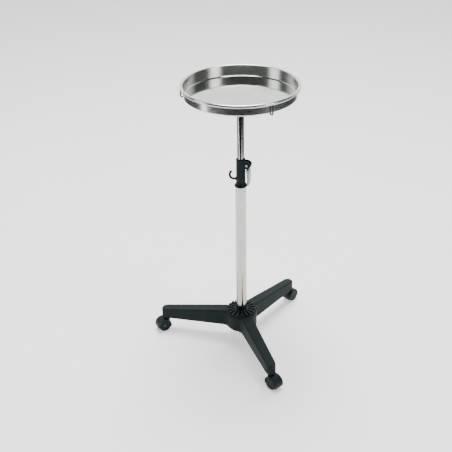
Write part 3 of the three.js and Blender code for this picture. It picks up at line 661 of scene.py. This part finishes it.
def make_casters():
    """Three hoods, each with two wheels and their tyres."""
    low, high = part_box("caster_front_tyre_a")
    radius = (high.z - low.z) / 2
    tyre = tyre_ring(radius)
    core = wheel_core(radius)
    for side in CASTERS:
        hood = f"caster_{side}_hood"
        stand_for(softened(hood, f"castor_hood_{side}", voxel=0.75 * MM, rounds=4), hood)
        for hand in "ab":
            place = wheel_place(side, hand)
            stand_for(copied(core, f"castor_wheel_{side}_{hand}", place), f"caster_{side}_wheel_{hand}")
            stand_for(copied(tyre, f"castor_tyre_{side}_{hand}", place), f"caster_{side}_tyre_{hand}")
    bpy.data.objects.remove(core)
    bpy.data.objects.remove(tyre)


place_camera()
make_tray()
make_holder()
make_tube("outer_tube", "outer_column_tube")
make_tube("inner_tube", "inner_column_tube")
make_clamp()
make_base()
make_collar()
make_casters()

# Every CAD node gets its finish. Those with no modelled piece stay in sight or hidden inside others:
# axles, stems, bushes, plugs, bolts and the pad.
for node, obj in frame["nodes"].items():
    obj.data.materials.clear()
    obj.data.materials.append(FINISHES[SLOTS[node]])


# ---- Studio ------------------------------------------------------------------------------------

DIM_WALL, BRIGHT_WALL = 0.09, 2.2
LAMP_AIM = Vector((0, 0, 0.6))  # a little above the cart's middle
FLOOR_SIZE = 30


def studio_floor():
    """A pale floor with a weak glow of its own, which lifts it towards white."""
    bpy.ops.object.select_all(action="DESELECT")
    bpy.ops.mesh.primitive_plane_add(size=FLOOR_SIZE, location=(COLUMN.x, COLUMN.y, 0))
    floor = bpy.context.object
    floor.name = "floor"
    material, place = new_material("pale_floor")
    tone = blend_colours(material, spread(material, noise(material, place, 0.5), 0, 1), "FDFDFD", "FAFAFA")
    floor.data.materials.append(finish_material(material, **{
        "Base Color": tone,
        "Roughness": 0.8,
        "Emission Color": linear("FFFFFF"),
        "Emission Strength": 0.5,
    }))


def card(name, colour, place, length, width, turn=0, glow=0):
    """A card lying on the floor out of view, seen only in reflections. It may glow."""
    lift = 2 * MM if turn else 1 * MM  # the turned strips lie on the other cards
    bpy.ops.mesh.primitive_plane_add(size=1, location=COLUMN + Vector((*place, lift)))
    sheet = bpy.context.object
    sheet.name = name
    sheet.scale = (length, width, 1)
    sheet.rotation_euler.z = math.radians(turn)
    material, where = new_material(name)
    tone = blend_colours(material, spread(material, noise(material, where, 0.4), 0, 1), colour, colour)
    sheet.data.materials.append(finish_material(material, **{
        "Base Color": tone,
        "Roughness": 0.9,
        "Specular IOR Level": 0.0,
        "Emission Color": linear("FFFFFF"),
        "Emission Strength": glow,
    }))
    sheet.visible_camera = sheet.visible_diffuse = sheet.visible_shadow = False


def softbox(name, azimuth, distance, height, width, tall, power):
    """A rectangular lamp that faces the middle of the cart."""
    data = bpy.data.lights.new(name, "AREA")
    data.shape = "RECTANGLE"
    data.size, data.size_y = width, tall
    data.energy = power
    lamp = bpy.data.objects.new(name, data)
    bpy.context.collection.objects.link(lamp)
    turn = math.radians(azimuth)
    place = Vector((distance * math.cos(turn), distance * math.sin(turn), height))
    lamp.location = COLUMN + place
    lamp.rotation_euler = (LAMP_AIM - place).to_track_quat("-Z", "Y").to_euler()


def studio_world():
    """Bright straight above and behind the cart, and dim on the side that the camera is on."""
    world = bpy.data.worlds.new("studio")
    world.use_nodes = True
    world.node_tree.nodes.clear()
    way = add_node(world, "ShaderNodeTexCoord").outputs["Generated"]
    parts = add_node(world, "ShaderNodeSeparateXYZ", {0: way})
    above = spread(world, parts.outputs["Z"], 0, 1, start=0.97, end=1.0)
    behind = spread(world, parts.outputs["Y"], 0, 1, start=0.25, end=0.7)
    most = add_node(world, "ShaderNodeMath", {0: above, 1: behind}, operation="MAXIMUM").outputs[0]
    seen = add_node(world, "ShaderNodeLightPath").outputs["Is Camera Ray"]
    most = add_node(world, "ShaderNodeMath", {0: most, 1: seen}, operation="MAXIMUM").outputs[0]
    strength = spread(world, most, DIM_WALL, BRIGHT_WALL, 0, 1)
    light = add_node(world, "ShaderNodeBackground", {"Color": (1, 0.995, 0.98, 1), "Strength": strength})
    add_node(world, "ShaderNodeOutputWorld", {"Surface": light.outputs[0]})
    bpy.context.scene.world = world


studio_floor()
card("card_front", "1A1C1C", place=(0, -4.45), length=12, width=6)
card("card_left", "3C4040", place=(-3.8, 0.8), length=4.6, width=4.4)
card("card_right", "3C4040", place=(3.8, 0.8), length=4.6, width=4.4)
card("strip_left", "C8C8C6", place=(-3.4, -0.95), length=3.4, width=0.6, turn=14, glow=2.5)
card("strip_right", "5E6060", place=(2.3, -1.75), length=2.6, width=0.4, turn=-38)
studio_world()
softbox("key", azimuth=-167, distance=3.2, height=1.9, width=1.2, tall=2.2, power=34)
softbox("edge", azimuth=-35, distance=3.2, height=1.9, width=1.1, tall=2.2, power=40)
softbox("overhead", azimuth=90, distance=1.0, height=5.5, width=2.6, tall=2.6, power=480)
